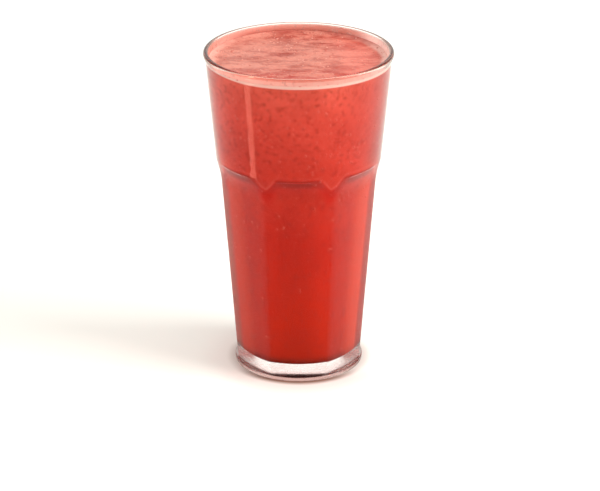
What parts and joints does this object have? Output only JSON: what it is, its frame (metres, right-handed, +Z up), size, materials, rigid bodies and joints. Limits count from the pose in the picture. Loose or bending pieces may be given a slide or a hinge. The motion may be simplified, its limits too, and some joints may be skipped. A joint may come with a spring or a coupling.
{
  "type": "glass of strawberry juice",
  "caption": "Tall clear tumbler with seven arched, slightly crowned panels and a thick base, filled with thick strawberry juice under a pink froth.",
  "frame": {"origin": "centre of the foot, on the surface that the glass stands on", "axes": "+Z up along the glass's axis; one panel faces -Y"},
  "size_m": [0.089, 0.089, 0.156],
  "materials": {
    "clear_glass": "clear, smooth, toughened",
    "red_juice": "opaque red fruit juice, finely mottled with pulp and small bubbles",
    "pink_froth": "salmon pink froth, softly uneven"
  },
  "bodies": {
    "root": {"glass": "clear_glass", "juice": "red_juice", "froth": "pink_froth"}
  },
  "joints": []
}
